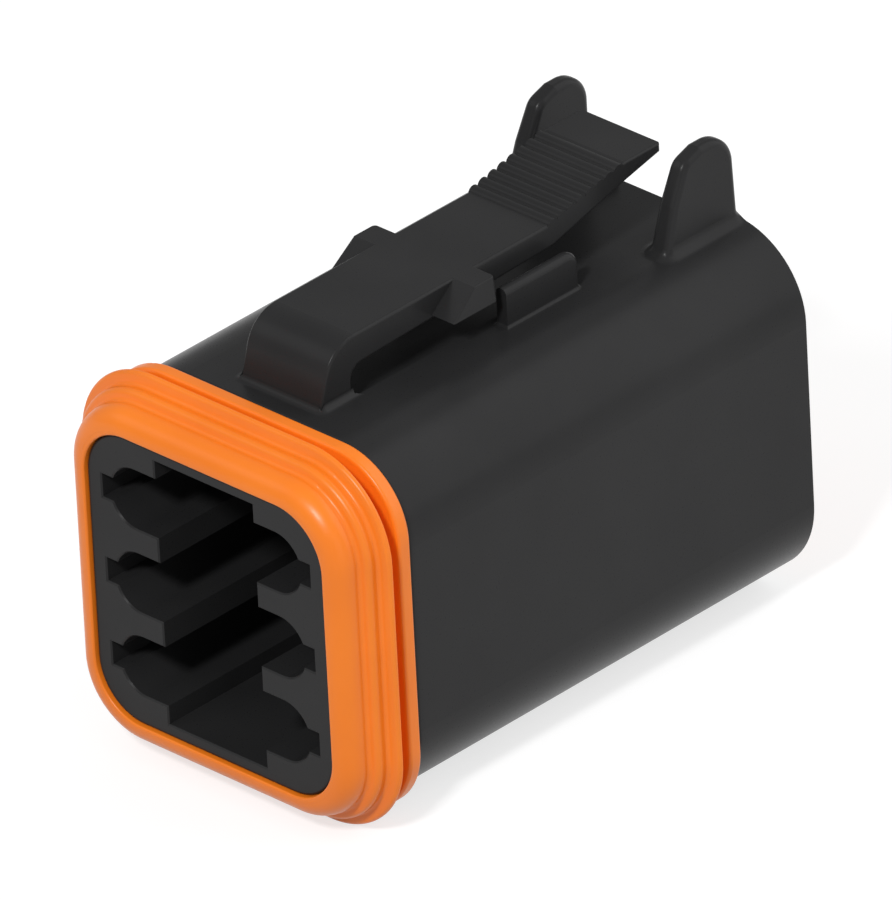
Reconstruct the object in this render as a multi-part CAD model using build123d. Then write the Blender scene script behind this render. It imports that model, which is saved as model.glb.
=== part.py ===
from build123d import *
import math
import os

# Sealed six-way plug housing. Millimetres. The origin is the middle of the nose face,
# the plug mates towards -Y, the wires leave towards +Y and the latch is on top (+Z).

# Contact layout
row_pitch = 6.25
column_offset = 6.25
rows = (-1, 0, 1)

# Nose and its cavities
nose_side_margin = 4.3
nose_end_margin = 4.45
nose_corner_r = 3.8
nose_edge_r = 0.25
cavity_r = 2.2
slot_half_width = 4.37
slot_end_wall = 0.9
key_half_height = 0.86
key_side_wall = 1.3
web_y = 18.0
mouth_chamfer = 0.1

# Locking fingers that stand forward from the web between the cavities and the slot
finger_thickness = 0.9
finger_width = 2.6
finger_length = 5.4
finger_slot_gap = 0.25
finger_hook = 0.55
finger_hook_length = 1.6

# Body
shoulder_y = 5.5
rear_y = 43.0
body_side_step = 2.15
body_top_step = 2.2
body_bottom_step = 2.55
top_corner_r = 5.9
bottom_corner_r = 6.6
shoulder_edge_r = 0.4
contact_bore_r = 2.15

# Rear pocket and the wire seal in it
pocket_wall = 2.0
pocket_depth = 9.5
wire_seal_length = 8.0
wire_seal_fit = 0.02
wire_hole_r = 1.3
wire_funnel_r = 2.1
wire_funnel_depth = 1.0
wire_seal_edge_r = 0.4

# Front seal: heights are measured outwards from the nose, stations along Y
seal_fit = 0.02
seal_front_y = -0.29
seal_inner_r = 0.15
seal_band_height = 0.25
lip_corner_r = 3.45
lip_1_height = 1.7
lip_1_nose_r = 1.4
valley_1_y = 1.55
valley_1_height = 1.62
lip_2_y = 1.72
lip_2_height = 2.38
lip_2_edge_r = 0.4
valley_2_y = 2.6
valley_2_height = 2.28
valley_r = 0.28
lip_3_y = 2.78
lip_3_rear_y = 3.08
lip_3_height = 3.16
lip_3_edge_r = 0.28
groove_front_y = 3.2
groove_height = 1.35
flange_y = 4.4
flange_height = 2.5
flange_corner_r = 5.4
flange_edge_r = 0.25

# Latch arm: heights are above the body top, the root's station is from the nose face,
# the pad's and the wings' stations are forward of the rear face
arm_half_width = 3.55
arm_root_front_y = 7.5
arm_root_length = 2.9
arm_height = 4.3
arm_gap = 2.0
arm_front_lean_deg = 15.6
arm_front_r = 2.9
arm_inner_r = 1.0
pad_start_back = 14.0
pad_under_inset = 0.3
pad_gap = 2.6
ramp_length = 7.3
ramp_rise = 1.44
ramp_thickness = 1.39
tip_length = 3.35
tip_thickness = 0.66
arm_edge_r = 0.2
ridge_count = 8
ridge_pitch = 0.9
ridge_r = 0.5
ridge_proud = 0.18
hinge_clearance = 0.05
collar_r = 0.55

# Locking wings on the arm
wing_front_back = 25.03
wing_ramp_length = 2.18
wing_top_length = 1.95
wing_drop = 1.75
wing_reach = 1.8
wing_draft = 0.2
wing_edge_r = 0.12
wing_corner_r = 0.35

# Channel, guard rails and ears: heights above the body top, ear stations forward of the rear face
channel_depth = 1.0
channel_clearance = 0.2
rail_gap = 0.95
rail_thickness = 0.9
rail_wing_gap = 0.85
rail_length = 6.85
rail_height = 2.8
rail_edge_r = 0.4
rail_end_r = 1.0
rail_base_r = 0.25
ear_gap = 2.15
ear_thickness = 1.7
ear_inner_draft = 0.05
ear_outer_draft = 0.35
ear_foot_back = 7.7
ear_bend_back = 6.1
ear_bend_height = 3.3
ear_shoulder_back = 4.8
ear_shoulder_height = 5.95
ear_top_back = 3.2
ear_height = 6.5
ear_rear_inset = 0.2
ear_front_r = 1.2
ear_rear_r = 2.1
ear_edge_r = 0.5
ear_base_r = 0.9
foot_sink = 1.4
rear_trim = 1.0

# Derived places
nose_half_width = column_offset + nose_side_margin
nose_half_height = row_pitch + nose_end_margin
body_half_width = nose_half_width + body_side_step
body_top = nose_half_height + body_top_step
body_bottom = -nose_half_height - body_bottom_step
slot_half_height = nose_half_height - slot_end_wall
key_reach = nose_half_width - key_side_wall
pocket_y = rear_y - pocket_depth
arm_top = body_top + arm_height
pad_top = arm_top + ramp_rise
pad_start_y = rear_y - pad_start_back
ramp_end_y = pad_start_y + ramp_length
tip_y = ramp_end_y + tip_length
wing_front_y = rear_y - wing_front_back
wing_top_y = wing_front_y + wing_ramp_length
wing_rear_y = wing_top_y + wing_top_length
wing_bottom = arm_top - wing_drop
wing_top_half = arm_half_width + wing_reach
wing_bottom_half = wing_top_half + wing_draft
rail_inner = arm_half_width + rail_gap
rail_outer = rail_inner + rail_thickness
rail_front_y = wing_rear_y + rail_wing_gap
rail_rear_y = rail_front_y + rail_length
rail_top = body_top + rail_height
ear_inner = arm_half_width + ear_gap
ear_outer = ear_inner + ear_thickness
ear_foot_y = rear_y - ear_foot_back
ear_rear_y = rear_y - ear_rear_inset
ear_top = body_top + ear_height
root_rear_y = arm_root_front_y + arm_root_length
hinge_r = arm_root_length / 2
hinge_y = arm_root_front_y + hinge_r
front_lean = math.radians(arm_front_lean_deg)
channel_floor = body_top - channel_depth
channel_half_width = arm_half_width + channel_clearance
channel_front_y = root_rear_y + hinge_clearance
contacts = [(side * column_offset, row * row_pitch) for row in rows for side in (-1, 1)]


def along_y(sketch, start, end):
    """Carries a sketch drawn in X and Z from one station along Y to another."""
    station = Plane(origin=(0, start, 0), x_dir=(1, 0, 0), z_dir=(0, -1, 0))
    return extrude(station * sketch, end - start, dir=(0, 1, 0))


def across_x(sketch, start, end):
    """Carries a sketch drawn in Y and Z from one place along X to another."""
    station = Plane(origin=(start, 0, 0), x_dir=(0, 1, 0), z_dir=(1, 0, 0))
    return extrude(station * sketch, end - start, dir=(1, 0, 0))


def outline(*points):
    """A closed straight-sided sketch through the points."""
    return make_face(Polyline(*points, close=True))


def nearest(sketch, point):
    """The corner of a sketch that lies nearest to a point."""
    return sketch.vertices().sort_by_distance(point)[0]


def body_outline(wall):
    """The body's outline, drawn in by a wall."""
    width = 2 * (body_half_width - wall)
    height = body_top - body_bottom - 2 * wall
    middle = (body_top + body_bottom) / 2
    sketch = Pos(0, middle) * Rectangle(width, height)
    sketch = fillet(sketch.vertices().group_by(Axis.Y)[-1], top_corner_r - wall)
    return fillet(sketch.vertices().group_by(Axis.Y)[0], bottom_corner_r - wall)


def nose_outline(grow):
    """The nose's outline, grown outwards all round."""
    width = 2 * (nose_half_width + grow)
    height = 2 * (nose_half_height + grow)
    return RectangleRounded(width, height, nose_corner_r + grow)


def cavity_outline():
    """The wedge slot, with the contact channels and their keys opening off it."""
    sketch = Rectangle(2 * slot_half_width, 2 * slot_half_height)
    for x, z in contacts:
        side = 1 if x > 0 else -1
        sketch += Pos(x, z) * Circle(cavity_r)
        sketch += Pos(x / 2, z) * Rectangle(abs(x), 2 * cavity_r)
        key_width = key_reach - column_offset
        sketch += Pos(x + side * key_width / 2, z) * Rectangle(key_width, 2 * key_half_height)
    return sketch


def finger(x, z):
    """A locking finger with its hook turned towards the contact."""
    side = 1 if x > 0 else -1
    inner = slot_half_width - finger_slot_gap - finger_thickness
    outer = slot_half_width - finger_slot_gap
    tip = web_y - finger_length
    shape = outline(
        (inner, web_y),
        (inner, tip),
        (outer + finger_hook / 2, tip),
        (outer + finger_hook, tip + finger_hook_length / 2),
        (outer, tip + finger_hook_length),
        (outer, web_y),
    )
    beam = extrude(Pos(0, 0, z - finger_width / 2) * shape, finger_width)
    return beam if side > 0 else mirror(beam, about=Plane.YZ)


def ear():
    """The right-hand guard ear: a leaning side profile, thinner towards its top."""
    base = body_top - foot_sink
    shoulder = (rear_y - ear_shoulder_back, body_top + ear_shoulder_height)
    crown = (ear_rear_y, ear_top)
    profile = outline(
        (ear_foot_y, base),
        (rear_y - ear_bend_back, body_top + ear_bend_height),
        shoulder,
        (rear_y - ear_top_back, ear_top),
        crown,
        (ear_rear_y, base),
    )
    profile = fillet(nearest(profile, crown), ear_rear_r)
    profile = fillet(nearest(profile, shoulder), ear_front_r)
    taper = outline(
        (ear_inner, base),
        (ear_outer, base),
        (ear_outer - ear_outer_draft, ear_top),
        (ear_inner + ear_inner_draft, ear_top),
    )
    blank = across_x(profile, ear_inner, ear_outer)
    shape = blank & along_y(taper, ear_foot_y, ear_rear_y)
    over = shape.edges().filter_by(lambda e: e.center().Z > body_top + ear_edge_r)
    rim = over.filter_by(lambda e: abs(e.tangent_at(0.5).X) < 0.5)
    return fillet(rim, ear_edge_r)


def rail():
    """The right-hand guard rail beside the latch arm."""
    height = rail_height + foot_sink
    place = Pos(rail_inner + rail_thickness / 2, rail_front_y + rail_length / 2, rail_top - height / 2)
    shape = place * Box(rail_thickness, rail_length, height)
    upper = shape.faces().sort_by(Axis.Z)[-1].edges()
    shape = fillet(upper.sort_by(Axis.Y)[-1:], rail_end_r)
    over = shape.edges().filter_by(lambda e: e.center().Z > rail_top - rail_end_r)
    return fillet(over.filter_by(lambda e: abs(e.tangent_at(0.5).X) < 0.5), rail_edge_r)


def feet(shape, front, rear, inner, outer):
    """The edges where a pair of upright features meets the body top."""
    slack = 0.1
    low = shape.edges().filter_by(lambda e: abs(e.center().Z - body_top) < slack)
    beside = low.filter_by(lambda e: inner - slack < abs(e.center().X) < outer + slack)
    return beside.filter_by(lambda e: front - slack < e.center().Y < rear + slack)


def root_space(low):
    """The space of the latch arm's root and its clearance, from a level upwards."""
    half = arm_half_width + hinge_clearance
    front = hinge_y - (hinge_r + hinge_clearance) / math.cos(front_lean)
    slope = math.tan(front_lean)
    high = body_top + 2 * collar_r
    profile = outline(
        (front + slope * (low - body_top), low),
        (front + slope * (high - body_top), high),
        (channel_front_y, high),
        (channel_front_y, low),
    )
    shape = across_x(profile, -half, half)
    upright = shape.edges().filter_by(lambda e: abs(e.tangent_at(0.5).Z) > 0.5)
    return fillet(upright.sort_by(Axis.Y)[:2], arm_edge_r + hinge_clearance)


def make_housing():
    """The one-piece housing: body, nose, cavities, rear pocket, channel, rails and ears."""
    body = along_y(body_outline(0), shoulder_y, rear_y + rear_trim)
    front_rim = body.faces().sort_by(Axis.Y)[0].edges()
    body = fillet(front_rim, shoulder_edge_r)
    nose = along_y(nose_outline(0), 0, shoulder_y + shoulder_edge_r)
    nose = fillet(nose.faces().sort_by(Axis.Y)[0].edges(), nose_edge_r)
    shape = body + nose
    for side in (ear(), rail()):
        shape += side
        shape += mirror(side, about=Plane.YZ)
    shape = fillet(feet(shape, ear_foot_y, ear_rear_y, ear_inner, ear_outer), ear_base_r)
    shape = fillet(feet(shape, rail_front_y, rail_rear_y, rail_inner, rail_outer), rail_base_r)
    shape += root_space(body_top - foot_sink)
    shape = fillet(feet(shape, arm_root_front_y, channel_front_y, 0, arm_half_width), collar_r)
    shape -= root_space(body_top)
    rear_plane = Plane(origin=(0, rear_y, 0), z_dir=(0, -1, 0))
    shape = split(shape, rear_plane, keep=Keep.TOP)
    mouth = cavity_outline()
    shape -= along_y(mouth, 0, web_y)
    face = shape.faces().filter_by(Axis.Y).sort_by(Axis.Y)[0]
    shape = chamfer(face.inner_wires()[0].edges(), mouth_chamfer)
    shape -= along_y(body_outline(pocket_wall), pocket_y, rear_y)
    for x, z in contacts:
        shape -= along_y(Pos(x, z) * Circle(contact_bore_r), web_y, pocket_y)
        shape += finger(x, z)
    channel = outline(
        (-channel_half_width, channel_floor),
        (channel_half_width, channel_floor),
        (channel_half_width, body_top + channel_depth),
        (-channel_half_width, body_top + channel_depth),
    )
    shape -= along_y(channel, channel_front_y, rear_y)
    groove = Pos(hinge_y, body_top) * Circle(hinge_r + hinge_clearance)
    reach = arm_half_width + hinge_clearance
    shape -= across_x(groove, -reach, reach)
    return shape


def make_latch_arm():
    """The latch arm: round root, flat beam, ridged thumb pad and two locking wings."""
    heel_y = hinge_y - hinge_r * math.cos(front_lean)
    heel_z = body_top + hinge_r * math.sin(front_lean)
    crown = (heel_y + (arm_top - heel_z) * math.tan(front_lean), arm_top)
    inside = (root_rear_y, body_top + arm_gap)
    profile = outline(
        (heel_y, heel_z),
        crown,
        (pad_start_y, arm_top),
        (ramp_end_y, pad_top),
        (tip_y, pad_top),
        (tip_y, pad_top - tip_thickness),
        (ramp_end_y, pad_top - ramp_thickness),
        (pad_start_y + pad_under_inset, body_top + pad_gap),
        inside,
        (root_rear_y, body_top),
    )
    profile = fillet(nearest(profile, crown), arm_front_r)
    profile = fillet(nearest(profile, inside), arm_inner_r)
    profile += Pos(hinge_y, body_top) * Circle(hinge_r)
    shape = across_x(profile, -arm_half_width, arm_half_width)
    on_side = shape.edges().filter_by(lambda e: abs(e.center().X) > arm_half_width - arm_edge_r)
    over = on_side.filter_by(lambda e: e.center().Z > body_top + arm_edge_r)
    lying = over.filter_by(lambda e: abs(e.tangent_at(0.5).X) < 0.5)
    shape = fillet(lying, arm_edge_r)
    shape += wings()
    slope = ramp_rise / ramp_length
    for n in range(ridge_count):
        y = pad_start_y + ridge_pitch * (n + 0.5)
        z = arm_top + slope * (y - pad_start_y) + ridge_proud - ridge_r
        ridge = across_x(Pos(y, z) * Circle(ridge_r), -arm_half_width, arm_half_width)
        shape += ridge
    return shape


def wings():
    """The two locking wings, wider below, with a ramp in front."""
    section = outline(
        (-wing_bottom_half, wing_bottom),
        (wing_bottom_half, wing_bottom),
        (wing_top_half, arm_top),
        (-wing_top_half, arm_top),
    )
    side = outline(
        (wing_front_y, wing_bottom),
        (wing_top_y, arm_top),
        (wing_rear_y, arm_top),
        (wing_rear_y, wing_bottom),
    )
    block = along_y(section, wing_front_y, wing_rear_y)
    shape = block & across_x(side, -wing_bottom_half, wing_bottom_half)
    upright = shape.edges().filter_by(lambda e: abs(e.tangent_at(0.5).Z) > 0.9)
    shape = fillet(upright.group_by(Axis.Y)[-1], wing_corner_r)
    above = shape.edges().filter_by(lambda e: e.center().Z > wing_bottom + wing_corner_r)
    outer = above.filter_by(lambda e: abs(e.center().X) > arm_half_width)
    return fillet(outer.filter_by(lambda e: e.center().Y < wing_rear_y - wing_corner_r), wing_edge_r)


def seal_profile():
    """Half section of the front seal: Y along, height outwards from the nose."""
    front_top = (seal_front_y, lip_1_height)
    crest_2 = (lip_2_y, lip_2_height)
    crest_3 = (lip_3_y, lip_3_height)
    profile = outline(
        (seal_front_y, 0),
        front_top,
        (valley_1_y, valley_1_height),
        crest_2,
        (valley_2_y, valley_2_height),
        crest_3,
        (lip_3_rear_y, lip_3_height),
        (groove_front_y, groove_height),
        (shoulder_y, groove_height),
        (shoulder_y, 0),
    )
    rounds = [
        (front_top, lip_1_nose_r),
        ((valley_1_y, valley_1_height), valley_r),
        (crest_2, lip_2_edge_r),
        ((valley_2_y, valley_2_height), valley_r),
        (crest_3, lip_3_edge_r),
    ]
    for corner, radius in rounds:
        profile = fillet(nearest(profile, corner), radius)
    return profile


def lip_outline(grow):
    """The line the lips run along, squarer at its corners than the nose, grown outwards."""
    width = 2 * (nose_half_width + grow)
    height = 2 * (nose_half_height + grow)
    return RectangleRounded(width, height, lip_corner_r + grow)


def seal_flange():
    """The flange against the shoulder."""
    width = 2 * (nose_half_width + flange_height)
    height = 2 * (nose_half_height + flange_height)
    shape = along_y(RectangleRounded(width, height, flange_corner_r), flange_y, shoulder_y)
    ends = shape.faces().filter_by(Axis.Y)
    return fillet(ends.edges(), flange_edge_r)


def make_front_seal():
    """The ribbed interface seal: lips swept round the nose, a thin band under them and a flange."""
    path = Plane(origin=(0, 0, 0), x_dir=(1, 0, 0), z_dir=(0, -1, 0)) * lip_outline(0).wire()
    section = Plane(origin=(0, 0, nose_half_height), x_dir=(0, 1, 0), z_dir=(1, 0, 0))
    lips = sweep(section * seal_profile(), path=path)
    band = along_y(lip_outline(seal_band_height), seal_front_y, shoulder_y)
    shape = lips + band + seal_flange()
    shape -= along_y(nose_outline(seal_fit), seal_front_y, shoulder_y)
    face = shape.faces().sort_by(Axis.Y)[0]
    return fillet(face.inner_wires()[0].edges(), seal_inner_r)


def make_wire_seal():
    """The soft rear seal with a funnelled hole for each wire."""
    rear = pocket_y + wire_seal_length
    shape = along_y(body_outline(pocket_wall + wire_seal_fit), pocket_y, rear)
    shape = fillet(shape.faces().sort_by(Axis.Y)[-1].edges(), wire_seal_edge_r)
    for x, z in contacts:
        shape -= along_y(Pos(x, z) * Circle(wire_hole_r), pocket_y, rear)
        funnel = Cone(wire_hole_r, wire_funnel_r, wire_funnel_depth)
        shape -= Pos(x, rear - wire_funnel_depth / 2, z) * Rot(-90, 0, 0) * funnel
    return shape


nodes = {
    "housing": make_housing(),
    "latch_arm": make_latch_arm(),
    "front_seal": make_front_seal(),
    "wire_seal": make_wire_seal(),
}
os.makedirs("parts", exist_ok=True)
for name, shape in nodes.items():
    shape.label = name
    export_step(shape, f"parts/{name}.step")
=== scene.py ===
import math

import bpy
from mathutils import Matrix, Vector


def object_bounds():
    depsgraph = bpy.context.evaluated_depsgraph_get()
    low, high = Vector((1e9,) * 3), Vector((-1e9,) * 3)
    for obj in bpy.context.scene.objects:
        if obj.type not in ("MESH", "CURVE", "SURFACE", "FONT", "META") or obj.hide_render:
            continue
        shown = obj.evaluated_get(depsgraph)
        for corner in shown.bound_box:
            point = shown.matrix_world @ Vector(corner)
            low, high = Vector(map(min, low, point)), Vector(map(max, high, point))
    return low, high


# Sealed six-way plug. Metres, in the frame of the CAD nodes, which carry the shape; this script
# gives them their materials and sets the floor, the lights and the camera.
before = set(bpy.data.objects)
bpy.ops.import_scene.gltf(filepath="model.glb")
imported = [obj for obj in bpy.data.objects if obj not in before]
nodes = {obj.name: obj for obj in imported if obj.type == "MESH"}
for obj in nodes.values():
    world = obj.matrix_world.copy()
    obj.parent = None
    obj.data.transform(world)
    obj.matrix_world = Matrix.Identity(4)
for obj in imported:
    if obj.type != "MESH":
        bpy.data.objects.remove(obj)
low_cad, high_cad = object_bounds()
scene = bpy.context.scene

# Camera fitted to the photograph: a nearly parallel view from 45 degrees round and 30 degrees up,
# rolled by 3 degrees, with its axis through AIM. LENS and SENSOR are in millimetres, LONG_SIDE is
# the photograph's longer side in pixels, and SCALE is in pixels per millimetre at AIM.
AIM = Vector((0.0, 0.02216, 0.002255))
LENS = 1000.0
SENSOR = 36.0
LONG_SIDE = 900.0
SCALE = 15.473
MM_PER_METRE = 1000.0
AROUND = math.radians(45.0)
RISE = math.radians(30.0)
ROLL = math.radians(3.012)
CLIP_NEAR = 0.05
CLIP_FAR = 20.0

# Surfaces: two colours that the surface drifts between, the span of the roughness, the strength of
# the reflection, and the scale and height of the fine grain.
BLACK = {
    "colours": ((0.0185, 0.0185, 0.019), (0.023, 0.023, 0.0235)),
    "rough": (0.27, 0.35),
    "specular": 0.13,
    "grain": 9000.0,
    "height": 0.00002,
}
ORANGE = {
    "colours": ((0.88, 0.2, 0.01), (0.94, 0.225, 0.013)),
    "rough": (0.32, 0.38),
    "specular": 0.4,
    "grain": 5000.0,
    "height": 0.000008,
}
DRIFT_SCALE = 120.0
DRIFT_DETAIL = 3.0
GRAIN_DETAIL = 2.0
GRAIN_STRENGTH = 0.15
NOISE_LOW = 0.3
NOISE_HIGH = 0.7

# Sockets of the Mix node when it mixes colours; their names are shared with its other modes.
MIX_FACTOR = 0
MIX_FIRST = 6
MIX_SECOND = 7
MIX_RESULT = 2

# Floor: half its side, its drop below the part, its grey, and the glow that makes it as white as
# paper.
FLOOR_REACH = 4.0
FLOOR_DROP = 0.00002
FLOOR_GREY = 0.4
FLOOR_GLOW = 0.7

# Lights: the strength of the even room light, then the place, size and power of each soft box.
ROOM_LIGHT = 0.42
LIGHT_TARGET = (0, 0.02, 0)
SOFTBOXES = {
    "key": ((0.17, -0.36, 0.39), 0.07, 1.8),
    "side": ((0.4, -0.12, 0.08), 0.2, 0.1),
    "left": ((-0.3, -0.22, 0.3), 0.2, 0.12),
    "back": ((0.27, 0.36, 0.28), 0.6, 1.4),
}
WHITE = (1, 1, 1, 1)


def socket(node, name, value):
    """Sets a constant on an input of a shader node."""
    node.inputs[name].default_value = value


def graph(name):
    """A new material with its node tree cleared, and the tree's output."""
    mat = bpy.data.materials.new(name)
    mat.use_nodes = True
    tree = mat.node_tree
    tree.nodes.clear()
    return mat, tree, tree.nodes.new("ShaderNodeOutputMaterial")


def ramp(tree, source, low, high):
    """A value that runs between two levels as a noise goes from dark to light."""
    node = tree.nodes.new("ShaderNodeMapRange")
    socket(node, "From Min", NOISE_LOW)
    socket(node, "From Max", NOISE_HIGH)
    socket(node, "To Min", low)
    socket(node, "To Max", high)
    tree.links.new(source, node.inputs["Value"])
    return node.outputs["Result"]


def noise(tree, coords, scale, detail):
    """A cloudy noise over the object's own coordinates."""
    node = tree.nodes.new("ShaderNodeTexNoise")
    socket(node, "Scale", scale)
    socket(node, "Detail", detail)
    tree.links.new(coords, node.inputs["Vector"])
    return node.outputs["Fac"]


def combine(tree, operation, first, second):
    """One value made from two by an arithmetic node."""
    node = tree.nodes.new("ShaderNodeMath")
    node.operation = operation
    tree.links.new(first, node.inputs[0])
    tree.links.new(second, node.inputs[1])
    return node.outputs["Value"]


def moulded(name, look):
    """A moulded surface: slight colour drift, uneven roughness and a fine grain."""
    mat, tree, out = graph(name)
    shader = tree.nodes.new("ShaderNodeBsdfPrincipled")
    coords = tree.nodes.new("ShaderNodeTexCoord").outputs["Object"]
    cloud = noise(tree, coords, DRIFT_SCALE, DRIFT_DETAIL)
    fine = noise(tree, coords, look["grain"], GRAIN_DETAIL)
    mix = tree.nodes.new("ShaderNodeMix")
    mix.data_type = "RGBA"
    for place, colour in zip((MIX_FIRST, MIX_SECOND), look["colours"]):
        socket(mix, place, (*colour, 1))
    tree.links.new(ramp(tree, cloud, 0.0, 1.0), mix.inputs[MIX_FACTOR])
    tree.links.new(mix.outputs[MIX_RESULT], shader.inputs["Base Color"])
    tree.links.new(ramp(tree, fine, *look["rough"]), shader.inputs["Roughness"])
    socket(shader, "Specular IOR Level", look["specular"])
    bump = tree.nodes.new("ShaderNodeBump")
    socket(bump, "Strength", GRAIN_STRENGTH)
    socket(bump, "Distance", look["height"])
    tree.links.new(fine, bump.inputs["Height"])
    tree.links.new(bump.outputs["Normal"], shader.inputs["Normal"])
    tree.links.new(shader.outputs["BSDF"], out.inputs["Surface"])
    return mat


def paper_floor():
    """A pale floor that keeps a soft shadow and glows for the rays that see it as the backdrop."""
    mat, tree, out = graph("pale_floor")
    path = tree.nodes.new("ShaderNodeLightPath").outputs
    seen = combine(tree, "MAXIMUM", path["Is Camera Ray"], path["Is Glossy Ray"])
    seen = combine(tree, "MAXIMUM", seen, path["Is Transmission Ray"])
    level = tree.nodes.new("ShaderNodeMapRange")
    socket(level, "To Max", FLOOR_GLOW)
    tree.links.new(seen, level.inputs["Value"])
    glow = tree.nodes.new("ShaderNodeEmission")
    socket(glow, "Color", WHITE)
    tree.links.new(level.outputs["Result"], glow.inputs["Strength"])
    diffuse = tree.nodes.new("ShaderNodeBsdfDiffuse")
    socket(diffuse, "Color", (FLOOR_GREY, FLOOR_GREY, FLOOR_GREY, 1))
    both = tree.nodes.new("ShaderNodeAddShader")
    tree.links.new(diffuse.outputs["BSDF"], both.inputs[0])
    tree.links.new(glow.outputs["Emission"], both.inputs[1])
    tree.links.new(both.outputs["Shader"], out.inputs["Surface"])
    return mat


def add_floor():
    """The floor, just under the lowest point of the part."""
    mesh = bpy.data.meshes.new("floor")
    z = low_cad.z - FLOOR_DROP
    signs = ((-1, -1), (1, -1), (1, 1), (-1, 1))
    corners = [(x * FLOOR_REACH, y * FLOOR_REACH, z) for x, y in signs]
    mesh.from_pydata(corners, [], [(0, 1, 2, 3)])
    mesh.materials.append(paper_floor())
    floor = bpy.data.objects.new("floor", mesh)
    scene.collection.objects.link(floor)


def add_room_light():
    """Even white light from all round."""
    world = bpy.data.worlds.new("studio")
    scene.world = world
    world.use_nodes = True
    tree = world.node_tree
    tree.nodes.clear()
    room = tree.nodes.new("ShaderNodeBackground")
    socket(room, "Color", WHITE)
    socket(room, "Strength", ROOM_LIGHT)
    out = tree.nodes.new("ShaderNodeOutputWorld")
    tree.links.new(room.outputs["Background"], out.inputs["Surface"])


def add_softbox(name, place, size, power):
    """A square lamp turned towards the part."""
    light = bpy.data.lights.new(name, "AREA")
    light.size = size
    light.energy = power
    lamp = bpy.data.objects.new(name, light)
    lamp.location = place
    lamp.rotation_mode = "QUATERNION"
    lamp.rotation_quaternion = (Vector(LIGHT_TARGET) - Vector(place)).to_track_quat("-Z", "Y")
    scene.collection.objects.link(lamp)


def add_camera():
    """The camera of the photograph."""
    right = Vector((math.cos(AROUND), math.sin(AROUND), 0))
    level_back = Vector((math.sin(AROUND), -math.cos(AROUND), 0))
    back = level_back * math.cos(RISE) + Vector((0, 0, math.sin(RISE)))
    up = back.cross(right)
    side = right * math.cos(ROLL) - up * math.sin(ROLL)
    top = right * math.sin(ROLL) + up * math.cos(ROLL)
    distance = LONG_SIDE / SENSOR * LENS / SCALE / MM_PER_METRE
    camera = bpy.data.objects.new("camera", bpy.data.cameras.new("camera"))
    camera.data.lens = LENS
    camera.data.sensor_width = SENSOR
    camera.data.clip_start = CLIP_NEAR
    camera.data.clip_end = CLIP_FAR
    turn = Matrix((side, top, back)).transposed().to_4x4()
    camera.matrix_world = Matrix.Translation(AIM + back * distance) @ turn
    scene.collection.objects.link(camera)
    scene.camera = camera


black = moulded("black_plastic", BLACK)
orange = moulded("orange_silicone", ORANGE)
for name, mat in (
    ("housing", black),
    ("latch_arm", black),
    ("front_seal", orange),
    ("wire_seal", orange),
):
    nodes[name].data.materials.clear()
    nodes[name].data.materials.append(mat)
add_floor()
add_room_light()
for name, (place, size, power) in SOFTBOXES.items():
    add_softbox(name, place, size, power)
add_camera()
scene.view_settings.view_transform = "Standard"
